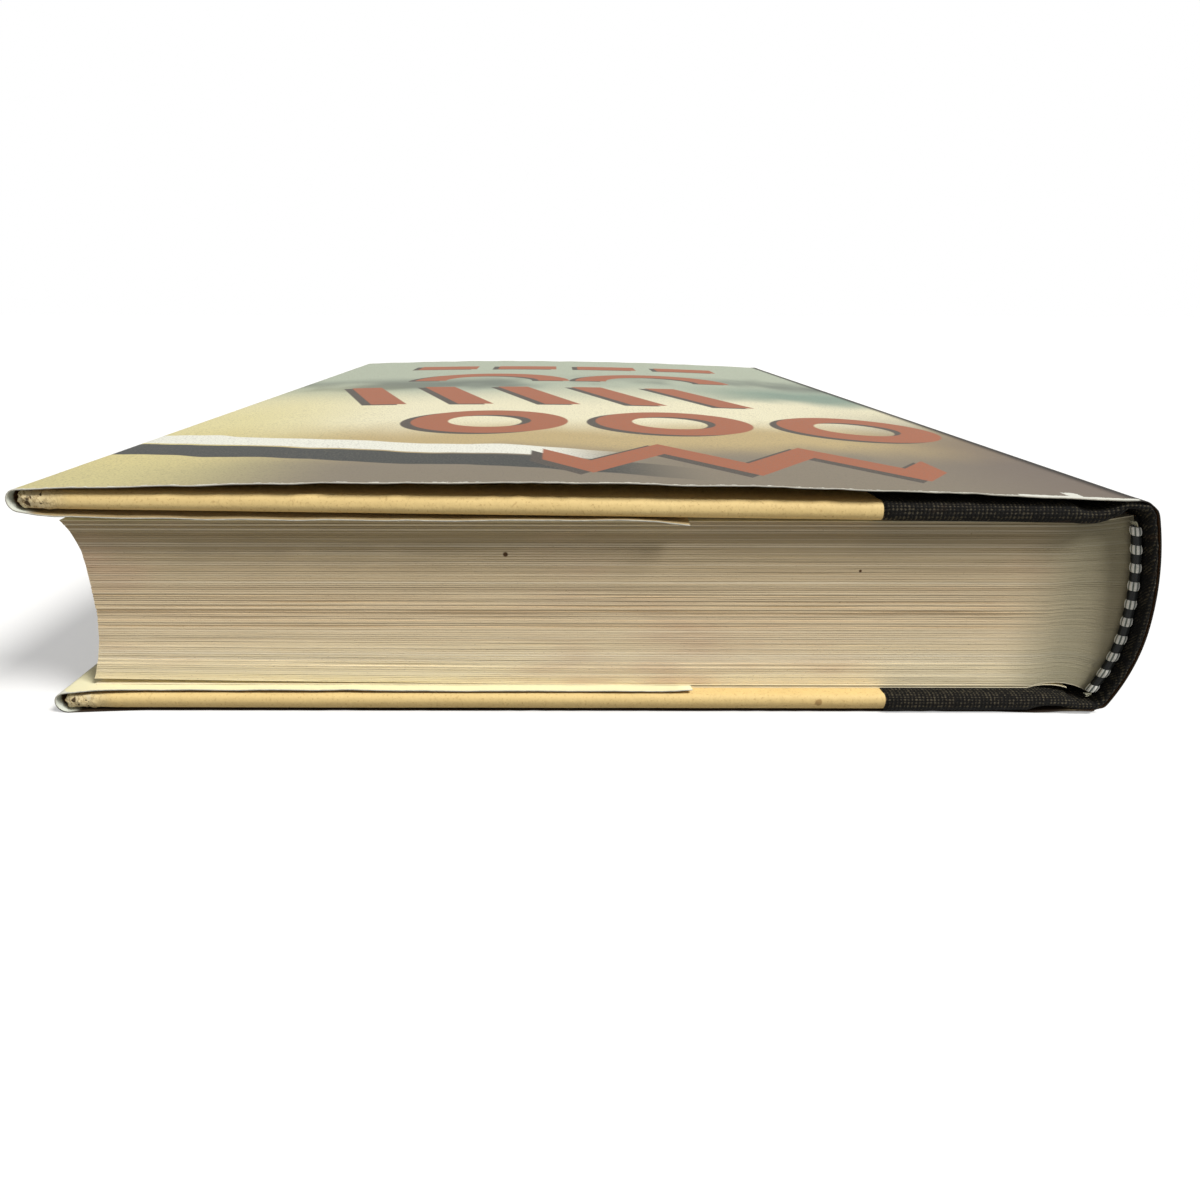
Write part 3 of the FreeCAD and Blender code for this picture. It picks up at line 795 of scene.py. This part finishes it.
def jacket_cut(x, z, short=0.0, flap_x=None, hang=0.0):
    # One cut across the sheet, short of the cover's end by so much between fore edge and seam. Past
    # the pages the flap hangs off the board, most of all at its end.
    from_fold, from_seam = [min(max(reach / 12, 0), 1) for reach in (x - PAPER_FORE, COVER_SEAM - x)]
    end = COVER_END - short * from_fold * from_seam
    half = [(x, y, z) for y in towards_ends(end, 26)]
    if flap_x is not None:
        loose = hang * min(max((x - PAPER_FORE) / 4, 0), 1) * min(max((flap_x - x) / 60, 0.0), 1)
        curl = FLAP_CURL * max(0.0, 1 - (flap_x - x) / CURL_REACH) ** 2
        half = [(x, y, z + (loose + curl) * min(max((y - LEAF_END) / 2.5, 0), 1)) for x, y, z in half]
    return [(x, -y, z) for x, y, z in reversed(half[1:])] + half


def worn_edge(point):
    # The head and tail edges are a little wavy and nicked, but pressed flat under the book.
    x, y, z = point
    near = max(0.0, 1 - (COVER_END - abs(y)) / WAVE_REACH)
    most = PRESSED_WAVE if z < 2 * PANEL_Z else FREE_WAVE
    wave = most * near * noise.noise(Vector((x / 7, y / 90, 3)))
    nick = NICK * near ** 6 * max(0.0, noise.noise(Vector((x * 0.6, 5, y / 90))) - 0.1)
    return x, y - math.copysign(nick, y), z + wave


def ring(finish, across, down, radius, stroke):
    off = reckon(finish, "SUBTRACT", away(finish, across, down, (0, 0)), radius)
    return between(finish, reckon(finish, "ABSOLUTE", off), stroke / 2 + 0.25, stroke / 2 - 0.25)


def strip(finish, value, low, high):
    return times(finish, between(finish, value, low - 0.25, low + 0.25),
                 between(finish, value, high + 0.25, high - 0.25))


def repeated(finish, value, pitch):
    # The same value over and over, from 0 to the pitch.
    return reckon(finish, "WRAP", value, pitch, 0.0)


def motifs(finish, x, y, shift):
    # Rows of chevrons, rings, slanted bars, arches and blocks, as a mask of 0 and 1.
    x = reckon(finish, "ADD", x, shift)
    y = reckon(finish, "ADD", y, shift * 0.8)
    zigzag = reckon(finish, "MULTIPLY_ADD", reckon(finish, "PINGPONG", x, 13), 1.3, -108)
    off = reckon(finish, "ABSOLUTE", reckon(finish, "SUBTRACT", y, zigzag))
    chevrons = times(finish, between(finish, off, 5.2, 4.8), strip(finish, x, -8, 58))
    centred = reckon(finish, "SUBTRACT", repeated(finish, x, 40.0), 20.0)
    rings = ring(finish, centred, reckon(finish, "ADD", y, 58), 13, 8)
    rings = times(finish, rings, strip(finish, x, -40, 80))
    slant = reckon(finish, "MULTIPLY_ADD", y, 0.35, x)
    bars = strip(finish, repeated(finish, slant, 22.0), 4, 13)
    bars = times(finish, bars, strip(finish, y, -28, 14))
    bars = times(finish, bars, strip(finish, slant, -66, 44))
    wide = reckon(finish, "SUBTRACT", repeated(finish, x, 52.0), 26.0)
    arches = ring(finish, wide, reckon(finish, "SUBTRACT", y, 34), 20, 10)
    arches = times(finish, arches, between(finish, y, 33, 34))
    arches = times(finish, arches, strip(finish, x, -52, 52))
    blocks = times(finish, strip(finish, y, 78, 92), strip(finish, repeated(finish, x, 30.0), 3, 25))
    blocks = times(finish, blocks, strip(finish, x, -60, 60))
    mask = chevrons
    for row in (rings, bars, arches, blocks):
        mask = reckon(finish, "MAXIMUM", mask, row)
    return mask


printed_side = new_finish("jacket_print", 0.6, 0.08)
place = named(printed_side, "place", "Vector")
x, y, z = axes(printed_side, place)
cloud = mottle(printed_side, stretched(printed_side, place, 0.02, 0.012, 0), 3)
drift = reckon(printed_side, "MULTIPLY_ADD", x, -0.12, y)
drift = reckon(printed_side, "MULTIPLY_ADD", cloud, 40, drift)
ground = mixed(printed_side, between(printed_side, drift, -84, -64),
               colour(130, 121, 106), colour(186, 166, 122))
ground = mixed(printed_side, between(printed_side, drift, -58, -30), ground, colour(230, 224, 194))
ground = mixed(printed_side, between(printed_side, drift, -10, 40), ground, colour(172, 180, 162))
storm = times(printed_side, between(printed_side, drift, 26, 44), between(printed_side, drift, 80, 54))
storm = times(printed_side, storm, between(printed_side, cloud, 0.38, 0.6))
ground = mixed(printed_side, storm, ground, colour(112, 120, 110))
teal = times(printed_side, between(printed_side, drift, -4, 14), between(printed_side, drift, 44, 20))
teal = times(printed_side, teal, between(printed_side, x, 16, 62))
ground = mixed(printed_side, times(printed_side, teal, 0.8), ground, colour(104, 132, 122))
left = times(printed_side, between(printed_side, x, -36, -78), between(printed_side, y, 40, -60))
ground = mixed(printed_side, times(printed_side, left, 0.8), ground, colour(214, 204, 146))
right = times(printed_side, between(printed_side, x, 44, 80), between(printed_side, y, -10, -80))
ground = mixed(printed_side, times(printed_side, right, 0.85), ground, colour(108, 97, 89))
sweep = reckon(printed_side, "ADD", reckon(printed_side, "MULTIPLY_ADD", x, 0.25, 112), y)
streak = reckon(printed_side, "MULTIPLY_ADD", cloud, 16, sweep)
slate = times(printed_side, strip(printed_side, streak, 6, 16), between(printed_side, x, 20, 0))
ground = mixed(printed_side, slate, ground, colour(62, 64, 62))
pale = times(printed_side, strip(printed_side, streak, 17, 26), between(printed_side, x, 10, -10))
ground = mixed(printed_side, pale, ground, colour(232, 232, 220))
printed = mixed(printed_side, motifs(printed_side, x, y, 2.0), ground, colour(78, 72, 66))
printed = mixed(printed_side, motifs(printed_side, x, y, 0.0), printed, colour(158, 98, 72))
dots = mottle(printed_side, stretched(printed_side, place, 2.8, 2.8, 2.8), 2, 0.6)
printed = mixed(printed_side, between(printed_side, dots, 0.42, 1.0), printed, colour(112, 106, 96))
printed = mixed(printed_side, between(printed_side, x, 77.5, 79.5), printed, colour(40, 35, 31))
printed = mixed(printed_side, named(printed_side, "flap", "Fac"), printed, colour(236, 230, 192))
rub = mottle(printed_side, stretched(printed_side, place, 0.9, 0.9, 0.9), 5, 0.7)
head = reckon(printed_side, "ABSOLUTE", y)
edge = between(printed_side, head, COVER_END - 1.2, COVER_END)
edge = reckon(printed_side, "ADD", edge, between(printed_side, x, PAPER_FORE + 0.6, PAPER_FORE - 0.8))
edge = times(printed_side, edge, between(printed_side, x, 79, 74))
bare = between(printed_side, reckon(printed_side, "MULTIPLY_ADD", edge, 0.42, rub), 0.86, 0.95)
beside = reckon(printed_side, "ABSOLUTE", reckon(printed_side, "SUBTRACT", x, CHIP_X))
chip = times(printed_side, between(printed_side, beside, 2.6, 0.6),
             between(printed_side, head, COVER_END - 6, COVER_END - 2.5))
torn = times(printed_side, between(printed_side, beside, 11, 8),
             between(printed_side, head, COVER_END - 2.2, COVER_END - 0.8))
chip = reckon(printed_side, "MAXIMUM", chip, torn)
chip = times(printed_side, chip, between(printed_side, y, 0, -100))
chip = between(printed_side, reckon(printed_side, "ADD", chip, rub), 1.28, 1.36)
bare = reckon(printed_side, "MAXIMUM", bare, chip)
printed = mixed(printed_side, bare, printed, colour(218, 218, 208))
coat(printed_side, printed)
relief(printed_side, rub, 0.05)

paper_core = new_finish("jacket_paper_edge", 0.8, 0.2)
place = named(paper_core, "place", "Vector")
x, y, z = axes(paper_core, place)
soil = mottle(paper_core, stretched(paper_core, place, 0.9, 0.9, 0.9), 4)
rim = mixed(paper_core, soil, colour(232, 230, 218), colour(150, 148, 136))
# Painted shade: the rim is painted near-black over the spine and dark brown low down under the book,
# where it lies in shade.
rim = mixed(paper_core, between(paper_core, x, 75, 80), rim, colour(26, 23, 20))
coat(paper_core, mixed(paper_core, between(paper_core, z, 1.6, 0.4), rim, colour(48, 39, 30)))

paper_back = new_finish("jacket_inside", 0.6, 0.3)
place = named(paper_back, "place", "Vector")
x, y, z = axes(paper_back, place)
fibre = mottle(paper_back, stretched(paper_back, place, 1.5, 1.5, 1.5), 4)
# The inside is painted a dull brown, darker than white paper, as painted shade in the gap between jacket
# and boards.
inside = mixed(paper_back, fibre, colour(176, 158, 118), colour(150, 130, 94))
# Painted shade: the inside is painted dark brown at the fold round the fore edge and over the spine.
painted_inside_shade = between(paper_back, x, PAPER_FORE + 3, PAPER_FORE - 0.5)
painted_inside_shade = reckon(paper_back, "MAXIMUM", painted_inside_shade, between(paper_back, x, 77, 80))
inside = mixed(paper_back, painted_inside_shade, inside, colour(84, 58, 34))
# Painted shade: near-black low down, between the back board and the jacket.
inside = mixed(paper_back, between(paper_back, z, 0.9, 0.4), inside, colour(44, 32, 22))
rim = between(paper_back, reckon(paper_back, "ABSOLUTE", y), COVER_END - 1.9, COVER_END - 1.2)
rim = times(paper_back, rim, between(paper_back, x, PAPER_FORE + 2, PAPER_FORE))
coat(paper_back, mixed(paper_back, rim, inside, colour(206, 210, 200)))

for name, flap_x, rise_x, seam_z, bow, short, hang, place_it in (
        ("front", FRONT_FLAP_X, PAPER_FORE, FRONT_SEAM_Z, BOW, 0, FRONT_LOOSE, on_front),
        ("back", BACK_FLAP_X, BOARD_EDGE, BACK_SEAM_Z, 0, BACK_SHORT, BACK_LOOSE, as_it_lies)):
    profile = jacket_profile(flap_x, rise_x, seam_z, bow)
    cuts = [jacket_cut(x, z, short, flap_x, hang) for x, z in profile[:FLAP_STEPS + 1]]
    cuts += [jacket_cut(x, z, short) for x, z in profile[FLAP_STEPS + 1:]]
    rows = [[place_it(point) for point in cut] for cut in cuts]
    spine = round_spine(JACKET_OUT)
    rows += [jacket_cut(x, z, short) for x, z in (spine if name == "front" else spine[-1:])]
    if name == "front":
        rows = [list(reversed(row)) for row in rows]
    points, faces = loft(rows)
    jacket = piece(name + "_jacket", [worn_edge(point) for point in points], faces, printed_side)
    jacket.data.materials.append(paper_core)
    jacket.data.materials.append(paper_back)
    on_flap = len(rows[0]) * (FLAP_STEPS + 1 + CREAM_ROWS_ON_FOLD)
    carry(jacket.data, "flap", "FLOAT", [1.0] * on_flap + [0.0] * (len(points) - on_flap))
    thick = jacket.modifiers.new("thickness", "SOLIDIFY")
    thick.thickness = JACKET * MM
    thick.offset = 0
    thick.material_offset_rim = 1
    thick.material_offset = 2
    if name == "front":
        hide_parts("jacket_front", "jacket_spine")
        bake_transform(jacket)
    else:
        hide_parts("jacket_back")
        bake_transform(jacket)


# The book lies on a white table in soft studio light. A broad lamp high on the right and a little
# in front throws the shade of the front board on the pages. The table looks white but throws
# little of that light back up.
FLOOR_REACH = 3000
LAMP_WAY = (6.8, -3.7, 9.2)
LAMP_STRENGTH = 3.9
LAMP_WIDTH = 20


def straight_look(finish):
    # 1 for a ray from the camera, also by way of a shiny or clear surface, and 0 for scattered light.
    rays = finish.node_tree.nodes.new("ShaderNodeLightPath").outputs
    seen = reckon(finish, "MAXIMUM", rays["Is Camera Ray"], rays["Is Glossy Ray"])
    return reckon(finish, "MAXIMUM", seen, rays["Is Transmission Ray"])


table = new_finish("table", 0.9, 0.0)
seen = straight_look(table)
coat(table, mixed(table, seen, (0.35, 0.34, 0.32, 1), (0.6, 0.6, 0.6, 1)))
glow = table.node_tree.nodes["Principled BSDF"].inputs
glow["Emission Color"].default_value = (1, 1, 1, 1)
fill(table, glow["Emission Strength"], times(table, seen, 0.4))
corners = [(across * FLOOR_REACH, along * FLOOR_REACH, 0)
           for across, along in ((-1, -1), (1, -1), (1, 1), (-1, 1))]
floor = piece("floor", corners, [(0, 1, 2, 3)], table)

lamp = bpy.data.lights.new("key", "SUN")
lamp.energy = LAMP_STRENGTH
lamp.angle = math.radians(LAMP_WIDTH)
lamp.color = (1.0, 0.985, 0.95)
key = bpy.data.objects.new("key", lamp)
key.rotation_euler = Vector(LAMP_WAY).to_track_quat("Z", "Y").to_euler()
bpy.context.scene.collection.objects.link(key)

world = bpy.data.worlds.new("studio")
bpy.context.scene.world = world
world.use_nodes = True
background = world.node_tree.nodes["Background"].inputs
background["Color"].default_value = (1, 1, 1, 1)
fill(world, background["Strength"], reckon(world, "MULTIPLY_ADD", straight_look(world), 0.8, 0.2))
